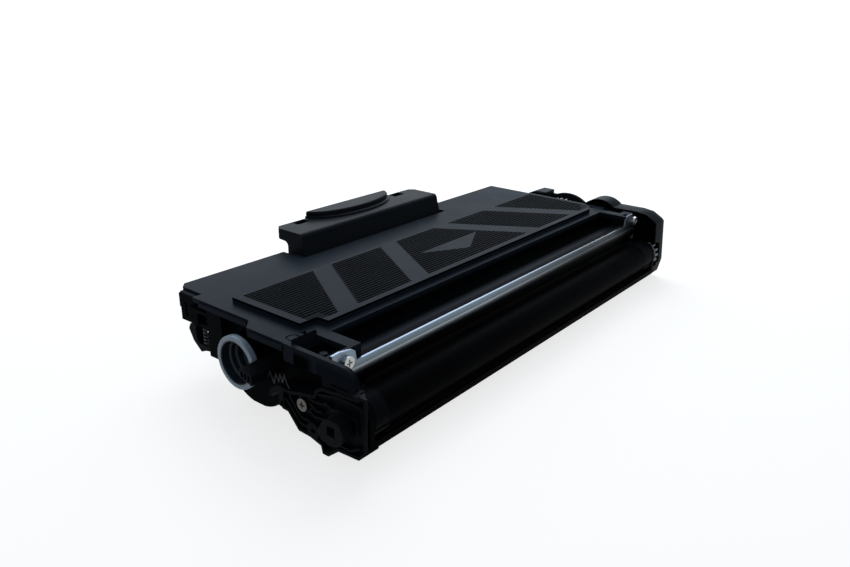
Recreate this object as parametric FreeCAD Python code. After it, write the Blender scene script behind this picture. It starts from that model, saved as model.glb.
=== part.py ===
import FreeCAD, Part
import math
import os

# Toner cartridge with an open developer roller along its front, in millimetres.
# It is drawn about the developer roller's axis (y = 0) and the lid's top face (z = 0).
# x runs along the roller, from the fill plug's end to the gears, with 0 at the trough's middle.
# On export each piece moves so that the origin is the middle of the flat under the hopper.

# Developer roller
roller_radius = 8.6
roller_drop = 25.2
roller_end_gap = 0.7
shaft_radius = 3.0
running_fit = 0.05

# Supply roller behind it
supply_radius = 6.6
supply_end_gap = 0.9
supply_fall = 12.0
roller_gap = 0.3

# Gears
gear_module = 1.0
developer_teeth = 16
supply_teeth = 14
idler_teeth = 18
coupling_teeth = 23
agitator_teeth = 38
backlash = 0.2
coupling_rise = 7.0
agitator_fall = 20.0
gear_face_gap = 0.8
gear_width = 4.2
gear_step = 0.6
post_radius = 3.0
collar_radius = 4.4

# Hopper shell
wall = 2.0
hopper_half = 128.0
cheek_sheet = 2.5
seal_width = 9.5
lobe_radius = 21.6
lobe_wall = 1.7
rest_flat_depth = 0.3473
hopper_back = 112.0
chamber_clearance = 0.9
lip_front = -8.5
lip_top = -33.7
lip_bottom = -36.5
lip_wall = 1.5
shelf_z = -34.6
crest_top = -27.0
front_wall_y = 9.9
deck_top = -9.1
bush_radius = 4.6
bush_flange_radius = 8.2

# Agitator
agitator_shaft_radius = 2.5
paddle_clearance = 1.9
agitator_reach = lobe_radius - lobe_wall - paddle_clearance
stand_inset = 6.8
stand_sheet = 2.4

# Lid
lid_thickness = 2.2
lid_back = 115.0
lid_left_overhang = 4.0
lid_right_overhang = 1.0
lid_corner_setback = 1.0
tab_setback = 0.3
tab_back = 53.5
step_back = 97.5
panel_height = 2.5
panel_left_margin = 3.7
panel_right_margin = 6.5
panel_back = 79.0
panel_front = 28.9
rib_count = 22
rib_first = 32.8
rib_last = 76.3
rib_groove = 0.95
rib_depth = 0.7
rib_slant = 27.0

# Trough in the lid
trough_end_margin = 1.0
trough_back = 24.8
trough_depth = 6.8
trough_fillet = 4.0

# Blade
blade_y = 6.7
blade_sheet = 1.2
blade_top = -5.7
blade_bend = -10.1
blade_lean = 0.9
blade_leg = 5.5
leaf_sheet = 0.4
leaf_length = 7.8
tip_sheet = 1.0
blade_screw_inset = 0.7
blade_screw_z = -4.3
screw_radius = 1.5
screw_head_radius = 2.8
screw_head = 2.0

# Handle
handle_left = -58.5
handle_right = 54.5
handle_front = 103.0
handle_top = 10.0
handle_back = 127.5
recess_depth = 1.5
rest_middle = -2.6
rest_centre_y = 128.5
rest_half_length = 33.5
rest_depth = 16.5
rest_step = 2.9

# Fill plug
plug_radius = 12.2
plug_neck_length = 6.6
plug_rim = 3.0
plug_neck_radius = 10.6
plug_floor = 1.4

# Left end cap and right gear cover
cap_gap = 3.1
cap_sheet = 2.0
cap_rib_height = 2.0
cap_boss_height = 0.8
cover_gap = 1.1
cover_wall = 1.6
gear_clearance = 0.5

# Sprung lever at the left rear
lever_axis = (86.2, -23.5)
lever_pin_radius = 1.5
lever_inset = 7.5
lever_width = 6.2
coil_radius = 2.7
coil_wire = 0.8
coil_turns = 5
coil_y = 99.0
coil_top = -17.0
coil_seat = -26.5
lever_stop = -12.4
stop_overlap = 0.8


# Places along x that follow from these sizes
cheek_half = hopper_half + cheek_sheet
seal_half = hopper_half - seal_width
rubber_half = hopper_half - roller_end_gap
supply_half = seal_half - supply_end_gap
inner_gears_x = cheek_half + gear_face_gap
inner_gears_end = inner_gears_x + gear_width
outer_gears_x = inner_gears_end + gear_step
gears_end = outer_gears_x + gear_width
cover_inner = gears_end + cover_gap
cover_face = cover_inner + cover_wall
cap_plate_in = cheek_half + cap_gap
cap_plate_out = cap_plate_in + cap_sheet
cap_face = cap_plate_out + cap_rib_height
cap_screw_seat = cap_plate_out + cap_boss_height
plug_seat = hopper_half + plug_neck_length
plug_face = plug_seat + plug_rim
lid_left = -hopper_half - lid_left_overhang
lid_right = hopper_half + lid_right_overhang
lid_corner_left = -hopper_half + lid_corner_setback
tab_left = -cap_face + tab_setback
panel_left = -hopper_half + panel_left_margin
panel_right = hopper_half - panel_right_margin
trough_half = seal_half - trough_end_margin
blade_screw_x = hopper_half - blade_screw_inset
stand_x = -hopper_half + stand_inset
lever_near = -hopper_half + lever_inset
lever_far = lever_near - lever_width
beyond = 400.0


def box(x0, x1, y0, y1, z0, z1):
    return Part.makeBox(x1 - x0, y1 - y0, z1 - z0, FreeCAD.Vector(x0, y0, z0))


def rod(radius, x0, x1, centre):
    """A cylinder along x about a centre (y, z)."""
    low, high = sorted([x0, x1])
    start = FreeCAD.Vector(low, centre[0], centre[1])
    return Part.makeCylinder(radius, high - low, start, FreeCAD.Vector(1, 0, 0))


def tube(outer, inner, x0, x1, centre):
    return rod(outer, x0, x1, centre).cut(rod(inner, x0, x1, centre))


def pin_y(radius, y0, y1, x, z):
    return Part.makeCylinder(radius, y1 - y0, FreeCAD.Vector(x, y0, z), FreeCAD.Vector(0, 1, 0))


def pin_z(radius, z0, z1, x, y):
    return Part.makeCylinder(radius, z1 - z0, FreeCAD.Vector(x, y, z0))


def side_face(outline, x):
    """A face in the plane x from points (y, z); an arc is a pair of points, middle and end."""
    edges = []
    here = FreeCAD.Vector(x, *outline[0])
    for step in list(outline[1:]) + [outline[0]]:
        if isinstance(step[0], tuple):
            middle = FreeCAD.Vector(x, *step[0])
            end = FreeCAD.Vector(x, *step[1])
            edges.append(Part.Arc(here, middle, end).toShape())
        else:
            end = FreeCAD.Vector(x, *step)
            edges.append(Part.LineSegment(here, end).toShape())
        here = end
    return Part.Face(Part.Wire(edges))


def side_prism(outline, x0, x1):
    low, high = sorted([x0, x1])
    return side_face(outline, low).extrude(FreeCAD.Vector(high - low, 0, 0))


def flat_prism(points, along):
    corners = [FreeCAD.Vector(*point) for point in points]
    return Part.Face(Part.makePolygon(corners + corners[:1])).extrude(FreeCAD.Vector(*along))


def plan_prism(points, z0, z1):
    return flat_prism([(x, y, z0) for x, y in points], (0, 0, z1 - z0))


def front_prism(points, y0, y1):
    return flat_prism([(x, y0, z) for x, z in points], (0, y1 - y0, 0))


def polar(centre, radius, degrees):
    angle = math.radians(degrees)
    return (centre[0] + radius * math.cos(angle), centre[1] + radius * math.sin(angle))


def join(shapes):
    return shapes[0].fuse(shapes[1:]).removeSplitter()


def mesh_distance(first_teeth, second_teeth):
    return gear_module * (first_teeth + second_teeth) / 2


def upper_meeting(first, first_distance, second, second_distance):
    """The point above two axes that lies at a given distance from each."""
    span = math.dist(first, second)
    along = (first_distance**2 - second_distance**2 + span**2) / (2 * span)
    height = math.sqrt(first_distance**2 - along**2)
    unit = ((second[0] - first[0]) / span, (second[1] - first[1]) / span)
    return (first[0] + along * unit[0] - height * unit[1], first[1] + along * unit[1] + height * unit[0])


# Axes of the rollers and gears, as (y, z)
developer_axis = (0.0, -roller_drop)
supply_axis = polar(developer_axis, roller_radius + supply_radius + roller_gap, -supply_fall)
idler_axis = upper_meeting(
    developer_axis, mesh_distance(developer_teeth, idler_teeth),
    supply_axis, mesh_distance(supply_teeth, idler_teeth))
coupling_axis = polar(idler_axis, mesh_distance(idler_teeth, coupling_teeth), coupling_rise)
agitator_axis = polar(coupling_axis, mesh_distance(coupling_teeth, agitator_teeth), -agitator_fall)
plug_axis = (agitator_axis[0] + 1.8, agitator_axis[1] + 1.6)
rest_drop = lobe_radius - rest_flat_depth - agitator_axis[1]


def gear_outline(teeth, phase, centre):
    """Involute teeth, thinned for backlash, as points (y, z)."""
    pitch = gear_module * teeth / 2
    pressure = math.radians(20)
    base = pitch * math.cos(pressure)
    root = pitch - 1.2 * gear_module
    tip = pitch + 0.9 * gear_module
    half_tooth = (math.pi * gear_module - backlash) / (4 * pitch)

    def half_angle(radius):
        turn = math.acos(base / max(radius, base))
        return half_tooth + math.tan(pressure) - pressure - math.tan(turn) + turn

    flank = [(radius, half_angle(radius)) for radius in (root, pitch, (pitch + tip) / 2, tip)]
    points = []
    for tooth in range(teeth):
        middle = phase + 2 * math.pi * tooth / teeth
        rising = [(radius, middle - spread) for radius, spread in flank]
        falling = [(radius, middle + spread) for radius, spread in reversed(flank)]
        for radius, angle in rising + falling:
            points.append((centre[0] + radius * math.cos(angle), centre[1] + radius * math.sin(angle)))
    return points


def meshing_phase(first, first_teeth, first_phase, second, second_teeth):
    """The turn of a second gear that puts its gaps round the first gear's teeth."""
    line = math.atan2(second[1] - first[1], second[0] - first[0])
    offset = (line - first_phase) * first_teeth / (2 * math.pi)
    return line + math.pi - (0.5 - offset) * 2 * math.pi / second_teeth


def gear(teeth, phase, centre, x0, x1):
    return side_prism(gear_outline(teeth, phase, centre), x0, x1)


developer_phase = 0.0
idler_phase = meshing_phase(developer_axis, developer_teeth, developer_phase, idler_axis, idler_teeth)
supply_phase = meshing_phase(idler_axis, idler_teeth, idler_phase, supply_axis, supply_teeth)
coupling_phase = meshing_phase(idler_axis, idler_teeth, idler_phase, coupling_axis, coupling_teeth)
agitator_phase = meshing_phase(coupling_axis, coupling_teeth, coupling_phase, agitator_axis, agitator_teeth)

seat_y = blade_y + blade_sheet + 0.1

pieces = {}


# Lid with its grip panel, trough, left block and shoulder
block_depth = 7.5
block_back = 31.0
bar_width = 6.0
pocket_left = tab_left + 1.9
pocket_right = -trough_half - 6.0
pocket_front = 9.4
pocket_back = 27.0
pocket_floor = -6.0
shoulder_inner = cap_face - 2.1


def lid_plate():
    outline = [
        (lid_right, seat_y), (lid_right, lid_back), (lid_corner_left + 3, lid_back),
        (lid_corner_left, lid_back - 3), (lid_corner_left, step_back), (lid_left, step_back),
        (lid_left, tab_back + 5), (tab_left, tab_back), (tab_left, seat_y)]
    plate = plan_prism(outline, -lid_thickness, 0)
    side_ledge = box(lid_left - 0.9, lid_left + 1.6, tab_back + 6, step_back - 5, -3.2, -1.2)
    tab_ledge = box(tab_left - 0.9, tab_left + 1.6, block_back, tab_back - 1.5, -3.4, -1.2)
    corner_ledge = box(lid_corner_left - 2.3, lid_corner_left + 1, step_back, lid_back - 4, -lid_thickness, -1.2)
    back_skirt = box(lid_corner_left + 4, lid_right, hopper_back + 0.3, lid_back, -6, -lid_thickness)
    return join([plate, side_ledge, tab_ledge, corner_ledge, back_skirt])


def grip_panel():
    outline = [
        (panel_left, 35.6), (panel_left + 9.1, 35.2), (panel_left + 9.7, panel_front),
        (panel_right - 10.1, panel_front),
        (panel_right - 0.6, 38.0), (panel_right, panel_back), (panel_left, panel_back)]
    return plan_prism(outline, -lid_thickness, panel_height)


def grooves():
    """Grooves along x in five fields whose slanted edges mirror about the middle."""
    fields = [(panel_left + 4.1, -78.4, 0, -1), (-65.6, -30.2, -1, -1), (-17.6, 15.4, -1, 1),
              (28.4, 64.8, 1, 1), (76.4, panel_right - 3.3, 1, 0)]
    pitch = (rib_last - rib_first) / (rib_count - 1)
    cuts = []
    for row in range(rib_count):
        middle = rib_first + row * pitch
        lean = rib_slant * (rib_last - middle) / (rib_last - rib_first)
        for left, right, left_side, right_side in fields:
            start = left + left_side * lean
            end = right + right_side * lean
            if left_side == 0 and middle < 38.5:
                start = panel_left + 12.7
            if right_side == 0 and middle < 38.5:
                end = panel_right - 14.0 + 1.6 * (middle - rib_first)
            spans = [(start, end)]
            if left < 0 < right and 41.0 < middle < 55.0:
                reach = 24.5 * (middle - 41.0) / 13.6
                spans = [(start, 0.9 - reach), (0.9 + reach, end)]
            cuts += [box(low, high, middle - rib_groove / 2, middle + rib_groove / 2,
                         panel_height - rib_depth, panel_height + 1) for low, high in spans if high > low]
    return cuts


def trough_body():
    outer = [
        (trough_back + wall, 0), (trough_back + wall, -trough_depth - wall), (front_wall_y, -trough_depth - wall),
        (front_wall_y, blade_bend - 0.5), (seat_y, blade_bend - 0.5), (seat_y, 0)]
    return side_prism(outer, -trough_half - wall, trough_half + wall)


def trough_space():
    seat_z = blade_top - 0.7
    bend = trough_fillet * (1 - math.sqrt(0.5))
    inner = [
        (trough_back, 5), (trough_back, -trough_depth + trough_fillet),
        ((trough_back - bend, -trough_depth + bend), (trough_back - trough_fillet, -trough_depth)),
        (seat_y + wall, -trough_depth), (seat_y + wall, seat_z), (seat_y - 3, seat_z), (seat_y - 3, 5)]
    return side_prism(inner, -trough_half, trough_half)


def left_block():
    body = box(tab_left, -trough_half, seat_y, block_back, -block_depth, 0)
    pocket = box(pocket_left, pocket_right, pocket_front, pocket_back, pocket_floor, 5)
    frame = box(pocket_left, pocket_right - 1.4, pocket_front, pocket_back - 1.6, pocket_floor, -3.4)
    frame = frame.cut(box(pocket_left + 1.2, pocket_right - 2.6, pocket_front + 1.2, pocket_back - 2.8, -5.4, 0))
    peg = pin_z(1.6, pocket_floor, -2.0, pocket_left + 4.6, 15.4)
    step = box(pocket_right - 5.2, pocket_right, pocket_front + 3.6, pocket_back, pocket_floor, -4.0)
    upright = box(pocket_left - 0.4, pocket_right + 0.4, pocket_back, pocket_back + 1.1, -1, 1.5)
    return join([body.cut(pocket), frame, peg, step, upright])


def shoulder():
    """Cheek that wraps down over the roller's left end."""
    outline = [
        (block_back, 0), (block_back, -block_depth), (9.6, -block_depth), (9.6, -11.6), (4.8, -10.6),
        (-6.2, -10.1), (-8.3, -7.6), ((-6.9, -2.4), (-1.5, 0))]
    slot = box(-cap_face - 1, -cap_face + 1.0, -4.7, 5.2, -9.5, -8.7)
    return side_prism(outline, -cap_face, -shoulder_inner).cut(slot)


def right_block():
    bar = box(trough_half, trough_half + bar_width, seat_y + 3, trough_back + wall, -block_depth, 0)
    boss = box(trough_half, lid_right + 0.4, seat_y, seat_y + 6, -block_depth - 1.2, -0.8)
    return join([bar, boss])


def lid_marks():
    """Ring mark, two small three-cornered holes, and the recess that the handle stands in."""
    ring = tube(3.0, 2.2, -0.5, 1, (0, 0))
    ring.rotate(FreeCAD.Vector(0, 0, 0), FreeCAD.Vector(0, 1, 0), -90)
    ring.translate(FreeCAD.Vector(lid_left + 0.3, 31.6, 0))
    left_hole = plan_prism(
        [(panel_left - 2.7, 32.6), (panel_left + 0.5, 32.9), (panel_left - 1.7, 29.4)], -1.5, 1)
    right_hole = plan_prism(
        [(panel_right + 0.9, 35.6), (panel_right + 4.5, 35.2), (panel_right + 2.9, 31.6)], -1.5, 1)
    recess = box(handle_left - 4.8, handle_right + 1.2, handle_front - 3.4, lid_back + 1, -recess_depth, 1)
    return [ring, left_hole, right_hole, recess]


def make_lid():
    right_gap = box(trough_half + bar_width, lid_right + 1, seat_y + 6, trough_back + wall, -5, 5)
    front_gap = box(-trough_half, trough_half + bar_width, -20, trough_back, -5, 5)
    left_gap = box(pocket_left, pocket_right, pocket_front, pocket_back, -5, 5)
    plate = lid_plate().cut([right_gap, front_gap, left_gap])
    hollow = box(panel_left + 3, panel_right - 3, 41, panel_back - 3, -lid_thickness - 1, panel_height - 2.3)
    lid = join([plate, grip_panel(), trough_body(), left_block(), shoulder(), right_block()])
    holes = [pin_y(screw_radius, seat_y - 1, seat_y + 5.6, side * blade_screw_x, blade_screw_z) for side in (-1, 1)]
    return lid.cut([trough_space(), hollow] + grooves() + holes + lid_marks())


pieces["top_cover"] = make_lid()


# Hopper shell with its round lobe, roller chamber, lip, end walls and decks
chamber_radius = supply_radius + chamber_clearance
chamber_floor = supply_axis[1] - chamber_radius - wall
lobe_space = lobe_radius - lobe_wall
flat_half = math.sqrt(lobe_radius**2 - (rest_drop + agitator_axis[1])**2)
crest_under = crest_top - 2.4
crest_y = agitator_axis[0] - math.sqrt(lobe_radius**2 - (crest_under - agitator_axis[1])**2)
crest_inner_y = agitator_axis[0] - math.sqrt(lobe_space**2 - (crest_top - agitator_axis[1])**2)
underside = [
    (2.0, chamber_floor), (21.5, chamber_floor), (28.5, -30.8), (31.0, crest_under), (crest_y, crest_under)]
lobe_start = (polar(agitator_axis, lobe_radius, 232), (agitator_axis[0] - flat_half, -rest_drop))
lobe_end = (polar(agitator_axis, lobe_radius, 315), polar(agitator_axis, lobe_radius, 10))
lobe_outline = [lobe_start, (agitator_axis[0] + flat_half, -rest_drop), lobe_end]
rear_outline = [(84.5, -14.0), (hopper_back, -9.0), (hopper_back, -lid_thickness)]
bay_x = -seal_half
bay_front = 88.0


def shell_skin():
    outer = [(lip_front, lip_top), (lip_front, lip_bottom)] + underside + lobe_outline + rear_outline + [
        (front_wall_y, -lid_thickness), (front_wall_y, lip_top)]
    chamber_back = polar(supply_axis, chamber_radius, -10)
    inner = [
        (lip_front + lip_wall, 5), (lip_front + lip_wall, shelf_z), (4.0, shelf_z),
        polar(supply_axis, chamber_radius, 220),
        (polar(supply_axis, chamber_radius, 280), chamber_back), (chamber_back[0] + 1.5, crest_top),
        (crest_inner_y, crest_top),
        (polar(agitator_axis, lobe_space, 270), polar(agitator_axis, lobe_space, 10)),
        (84.0, -12.0), (hopper_back - wall, -7.2), (hopper_back - wall, 5)]
    skin = side_prism(outer, -hopper_half, hopper_half)
    return skin.cut(side_prism(inner, -hopper_half - 1, hopper_half + 1))


def end_wall(side):
    outline = [(front_wall_y, deck_top), (front_wall_y, chamber_floor)] + underside[1:] + lobe_outline + \
        rear_outline + [(block_back + 0.3, -lid_thickness), (block_back + 0.3, deck_top)]
    return side_prism(outline, side * (hopper_half - wall), side * hopper_half)


def end_block(side):
    """Block behind the roller's end, hollowed round the roller for its seal."""
    outline = [(3.0, chamber_floor), (24.0, chamber_floor), (24.0, deck_top), (front_wall_y, deck_top),
               (front_wall_y, -16.6), (3.0, -16.6)]
    block = side_prism(outline, side * seal_half, side * hopper_half)
    return block.cut(rod(roller_radius + 1.4, side * (seal_half - 1), side * (hopper_half + 1), developer_axis))


def cheek(side, back):
    """Outer cheek that carries the rollers' bushes, and the deck behind it."""
    outline = [
        (back, deck_top), (9.0, deck_top), (9.0, -16.8), (1.0, -16.8),
        ((-5.9, -19.2), (-8.4, -25.2)), (lip_front, -31.0), (lip_front, lip_bottom)] + underside[:-1] + [
        (back, crest_under)]
    return side_prism(outline, side * hopper_half, side * cheek_half)


def right_deck():
    lobe = rod(lobe_radius, hopper_half, cheek_half, agitator_axis)
    ear = box(hopper_half, cheek_half, 76.0, 91.0, -13.0, -2.6)
    deck = join([cheek(1, 48.0), box(hopper_half, cheek_half, block_back + 0.3, 48.0, -28, 0), lobe, ear])
    return deck.cut([box(0, beyond, -beyond, beyond, -2.6, beyond),
                     box(0, beyond, -beyond, beyond, -beyond, -rest_drop)])


coupling_post_end = gears_end - 1.9


def gear_posts():
    posts = []
    for axis, end in ((idler_axis, cover_inner), (coupling_axis, coupling_post_end)):
        posts.append(rod(collar_radius, cheek_half - 1, inner_gears_x - 0.1, axis))
        posts.append(rod(post_radius, cheek_half - 1, end, axis))
    return posts


def plug_neck():
    return rod(plug_neck_radius + 1.4, -hopper_half, -plug_seat, plug_axis)


def agitator_stand():
    """Stand inside the lobe that holds the agitator's left end."""
    foot = agitator_axis[1] - lobe_space - 0.8
    stand = box(stand_x - stand_sheet, stand_x, agitator_axis[0] - 3.5, agitator_axis[0] + 3.5, foot,
                agitator_axis[1])
    return join([stand, rod(collar_radius, stand_x - stand_sheet, stand_x, agitator_axis)])


def rear_left_frame():
    """Guide rib, bay walls, hanging plate, shelf and pivot pin at the left rear."""
    plate_out = -hopper_half - 1.5
    plate_in = -hopper_half + 0.4
    rib = box(lid_left, lid_corner_left, 78.0, bay_front, -26.0, -3.3)
    cross = box(lid_corner_left, bay_x, 86.0, bay_front, -13.2, -lid_thickness)
    thin_rib = box(-cheek_half - 0.5, -hopper_half, 49.6, 50.6, -14.0, -3.4)
    side = side_prism(
        [(86.0, -13.4), (hopper_back, -9.0), (hopper_back, -lid_thickness), (86.0, -lid_thickness)],
        bay_x, bay_x + wall)
    back = box(plate_out, bay_x, hopper_back - wall, hopper_back, -9.0, -lid_thickness)
    plate = box(plate_out, plate_in, 99.0, hopper_back - 0.8, -15.1, -lid_thickness)
    slot = [box(plate_out - 1, plate_in + 1, 106.6, 107.9, -11.0, -5.5),
            box(plate_out - 1, plate_in + 1, 102.6, 107.9, -12.3, -11.0)]
    stop = box(plate_in, lever_far + stop_overlap, 103.8, 109.6, lever_stop - 1.1, lever_stop)
    shelf = box(lid_left, plate_out + 0.9, bay_front - 1, 102.0, -7.0, -5.4)
    seat = box(lid_corner_left, bay_x + 1, 94.8, 103.2, coil_top, coil_top + 1.8)
    hanger = box(bay_x, bay_x + wall, 94.8, 103.2, coil_top, -8.0)
    pin = rod(lever_pin_radius, -hopper_half, lever_near + 0.6, lever_axis)
    return [rib, cross, side, back, plate.cut(slot), stop, shelf, seat, hanger, pin, thin_rib]


def make_shell():
    solids = [shell_skin(), right_deck(), cheek(-1, 42.0), plug_neck()]
    for side in (-1, 1):
        solids += [end_wall(side), end_block(side)]
    shell = join(solids)
    bay = [box(-hopper_half - 1, bay_x, 84.9, hopper_back + 1, -20, -lid_thickness + 1)]
    shell = shell.cut(bay)
    shell = join([shell] + rear_left_frame() + gear_posts() + [agitator_stand()])
    cuts = [rod(plug_neck_radius, -plug_seat - 1, -hopper_half + wall + 0.5, plug_axis)]
    for side in (-1, 1):
        cuts.append(rod(bush_radius, side * (hopper_half - 0.5), side * (cheek_half + 1), developer_axis))
        cuts.append(rod(bush_radius, side * (seal_half - 1), side * (cheek_half + 1), supply_axis))
    cuts.append(rod(bush_radius, hopper_half - wall - 1, cheek_half + 1, agitator_axis))
    cuts.append(rod(agitator_shaft_radius + running_fit, stand_x - stand_sheet - 1, stand_x + 1, agitator_axis))
    cuts += [rod(screw_radius, cheek_half - 4, cheek_half + 1, centre) for centre in cover_screw_places]
    cuts.append(rod(screw_radius, -cheek_half - 1, -cheek_half + 4, cap_screw_place))
    return shell.cut(cuts)


cover_screw_places = [(31.5, -28.3), (86.5, -8.0)]
cap_screw_place = (20.9, -23.6)
pieces["hopper_shell"] = make_shell()


# Handle with its thumb rest
def thumb_layer(inset, top, rounding):
    """One layer of the thumb rest, half an oval with a rounded rim."""
    centre = FreeCAD.Vector(rest_middle, rest_centre_y, handle_top - 1)
    oval = Part.Ellipse(centre, rest_half_length - inset / 4, rest_depth - inset).toShape()
    layer = Part.Face(Part.Wire(oval)).extrude(FreeCAD.Vector(0, 0, top - handle_top + 1))
    rim = [edge for edge in layer.Edges if edge.BoundBox.ZMin > top - 0.01]
    layer = layer.makeFillet(rounding, rim)
    return layer.common(box(handle_left, handle_right, 0, handle_back, 0, top + 1))


def make_handle():
    profile = [
        (handle_front, -recess_depth), (105.4, 7.4), ((106.1, 9.2), (108.0, handle_top)),
        (handle_back - 0.8, handle_top), (handle_back, handle_top - 0.8), (handle_back, 5.0), (124.4, 4.3),
        (118.9, 3.8), ((117.6, 3.1), (116.9, 1.6)), (116.8, -5.5), (lid_back + 0.1, -5.5),
        (lid_back + 0.1, -recess_depth)]
    body = side_prism(profile, handle_left, handle_right)
    layers = [thumb_layer(0, handle_top + 1.0, 0.5), thumb_layer(rest_step, handle_top + 3.5, 1.1)]
    cuts = [box(handle_left + wall, handle_right - wall, 106.6, 114.6, -9, 7.4)]
    for x in (-42.7, 36.9):
        cuts.append(box(x - 4.4, x + 4.4, 120.9, handle_back - 1.2, handle_top - 3.6, handle_top + 1))
    for x, way in ((handle_left, 1), (handle_right, -1)):
        cuts.append(plan_prism([(x - way, handle_back - 3.7), (x, handle_back - 3.7), (x + way * 3.4, handle_back),
                                (x + way * 3.4, handle_back + 1), (x - way, handle_back + 1)], 0, 12))
    return join([body] + layers).cut(cuts)


pieces["rear_handle"] = make_handle()


# Fill plug, a stepped cup pressed into the hopper's neck
def make_plug():
    plug_end = -hopper_half + wall
    cup = join([rod(plug_radius, -plug_face, -plug_seat, plug_axis),
                rod(plug_neck_radius, -plug_seat, plug_end, plug_axis)])
    bores = [rod(9.6, -plug_face - 1, -plug_face + 4.4, plug_axis), rod(8.7, -plug_face, -plug_face + 7.0, plug_axis),
             rod(7.6, -plug_face, plug_end - plug_floor, plug_axis)]
    return cup.cut(bores)


pieces["fill_plug"] = make_plug()


# Metering blade: bent bracket, leaf, soft tip, screws and the foam strip behind it
blade_half = blade_screw_x - 0.3


def blade_point(along, out):
    """A point on the bracket's leaning leg, from the bend down and towards the front."""
    length = math.hypot(blade_lean, blade_leg)
    down = (blade_lean / length, -blade_leg / length)
    return (blade_y + down[0] * along + down[1] * out, blade_bend + down[1] * along - down[0] * out)


def make_bracket():
    left_tab = [(6.0, blade_top), (5.3, -1.4), (3.4, -0.2), (-3.1, 0.9), (-7.3, 0.6), (-7.7, -7.8), (-6.1, blade_bend)]
    right_tab = [(1.7, blade_bend), (2.6, -7.0), (2.6, -3.2), (1.2, -0.9), (-1.6, 0.3), (-7.2, 0.3), (-9.2, -0.6),
                 (-10.3, -2.4), (-11.1, blade_top)]
    face = [(-blade_screw_x + x, z) for x, z in left_tab] + [(blade_screw_x + x, z) for x, z in right_tab]
    plate = front_prism(face, blade_y, blade_y + blade_sheet)
    leg = side_prism(
        [(blade_y, blade_bend), (blade_y + blade_sheet, blade_bend),
         (blade_y + blade_sheet + blade_lean, blade_bend - blade_leg), (blade_y + blade_lean, blade_bend - blade_leg)],
        -blade_half, blade_half)
    holes = [pin_y(screw_radius, blade_y - 1, blade_y + 3, side * blade_screw_x, blade_screw_z) for side in (-1, 1)]
    return join([plate, leg]).cut(holes)


def make_screw(head_face, way, length, x=None, centre=None):
    """A pan head screw: along y when x is given, otherwise along x."""
    if x is not None:
        head = pin_y(screw_head_radius, head_face - screw_head, head_face, x, centre)
        shank = pin_y(screw_radius, head_face - 0.1, head_face + length, x, centre)
        slots = [box(x - 1.5, x + 1.5, head_face - 3, head_face - 1.0, centre - 0.3, centre + 0.3),
                 box(x - 0.3, x + 0.3, head_face - 3, head_face - 1.0, centre - 1.5, centre + 1.5)]
        return join([head, shank]).cut(slots)
    head = rod(screw_head_radius, head_face, head_face + way * screw_head, centre)
    shank = rod(screw_radius, head_face + way * 0.1, head_face - way * length, centre)
    low, high = sorted([head_face + way * 1.0, head_face + way * 3])
    y, z = centre
    slots = [box(low, high, y - 1.5, y + 1.5, z - 0.3, z + 0.3), box(low, high, y - 0.3, y + 0.3, z - 1.5, z + 1.5)]
    return join([head, shank]).cut(slots)


pieces["blade_bracket"] = make_bracket()
leaf_half = trough_half - 0.5
pieces["blade_leaf"] = side_prism(
    [blade_point(1.5, 0), blade_point(1.5, leaf_sheet), blade_point(1.5 + leaf_length, leaf_sheet),
     blade_point(1.5 + leaf_length, 0)], -leaf_half, leaf_half)
pieces["blade_tip"] = side_prism(
    [blade_point(6.4, leaf_sheet), blade_point(6.4, leaf_sheet + tip_sheet),
     blade_point(1.5 + leaf_length, leaf_sheet + tip_sheet), blade_point(1.5 + leaf_length, leaf_sheet)],
    -leaf_half, leaf_half)
pieces["blade_screws"] = Part.makeCompound(
    [make_screw(blade_y, -1, 6.4, x=side * blade_screw_x, centre=blade_screw_z) for side in (-1, 1)])
pieces["blade_seal"] = box(-trough_half + 0.7, trough_half - 0.7, seat_y, seat_y + 1.6, blade_top - 0.7, blade_top)


# Developer roller, its bushes, end seals, lip film and felts
shaft_left = -cap_face + 1.2
pieces["developer_shaft"] = rod(shaft_radius, shaft_left, inner_gears_end + 0.4, developer_axis)
pieces["developer_roller"] = tube(roller_radius, shaft_radius, -rubber_half, rubber_half, developer_axis)


def developer_bush(side):
    flange = tube(bush_flange_radius, shaft_radius + running_fit, side * (hopper_half - 0.4), side * hopper_half,
                  developer_axis)
    sleeve = tube(bush_radius, shaft_radius + running_fit, side * hopper_half, side * (cheek_half + 0.4),
                  developer_axis)
    return join([flange, sleeve])


def strip_face(inner, outer, start, end, x0, x1):
    """A curved strip about the developer roller's axis."""
    ring = tube(outer, inner, x0, x1, developer_axis)
    far = 3 * outer
    wedge = [developer_axis] + [
        polar(developer_axis, far, start + (end - start) * step / 4) for step in range(5)]
    return ring.common(side_prism(wedge, x0, x1))


pieces["developer_bush_left"] = developer_bush(-1)
pieces["developer_bush_right"] = developer_bush(1)
pieces["end_seals"] = Part.makeCompound(
    [strip_face(roller_radius + 0.3, front_wall_y - 0.1, -62, 58, side * (seal_half + 0.4),
                side * (hopper_half - 0.6)) for side in (-1, 1)])
pieces["lip_felts"] = Part.makeCompound(
    [strip_face(roller_radius + 0.3, -shelf_z - roller_drop, 212, 270, side * (seal_half + 0.5),
                side * (hopper_half - 0.6)) for side in (-1, 1)])
pieces["lip_film"] = box(-seal_half + 0.1, seal_half - 0.1, lip_front + lip_wall, 2.0, shelf_z, shelf_z + 0.3)


# Supply roller with its bushes
pieces["supply_shaft"] = rod(shaft_radius, -cheek_half - 0.7, gears_end + 0.6, supply_axis)
pieces["supply_roller"] = tube(supply_radius, shaft_radius, -supply_half, supply_half, supply_axis)
pieces["supply_bushes"] = Part.makeCompound(
    [tube(bush_radius, shaft_radius + running_fit, side * (cheek_half - 4), side * cheek_half, supply_axis)
     for side in (-1, 1)])


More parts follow.
